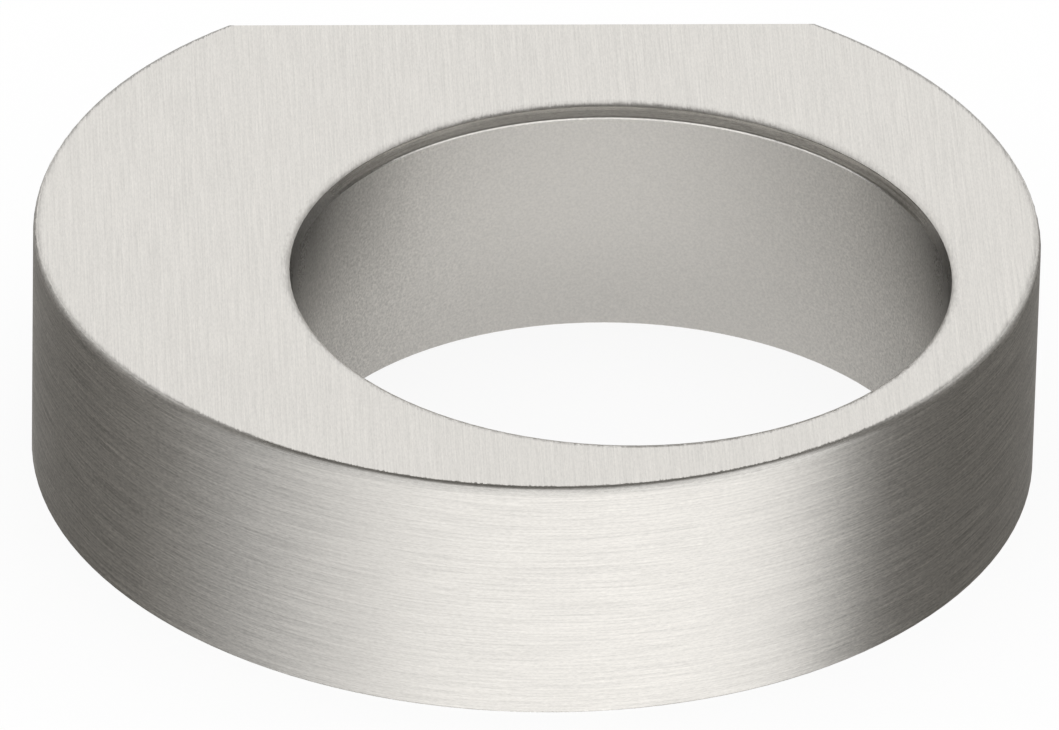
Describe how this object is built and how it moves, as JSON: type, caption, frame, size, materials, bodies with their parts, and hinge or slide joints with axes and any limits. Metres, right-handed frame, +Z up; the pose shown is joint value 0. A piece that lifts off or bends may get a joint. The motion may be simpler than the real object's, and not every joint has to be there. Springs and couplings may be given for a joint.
{
  "type": "cabinet knob",
  "caption": "Flat round cabinet knob with one straight mounting side and a large off-centre finger hole, screwed to a door or drawer front from behind.",
  "frame": {"origin": "centre of the straight mounting side, where the screw's axis meets it", "axes": "+Y points out of the mounting side into the cabinet front, along the screw; +Z points up through the disc's top face; +X is to the right seen from the front"},
  "size_m": [0.042, 0.0378, 0.0108],
  "materials": {
    "brushed_nickel": "brushed nickel plating on a zinc die-casting"
  },
  "bodies": {
    "root": {"knob": "brushed_nickel"}
  },
  "joints": []
}
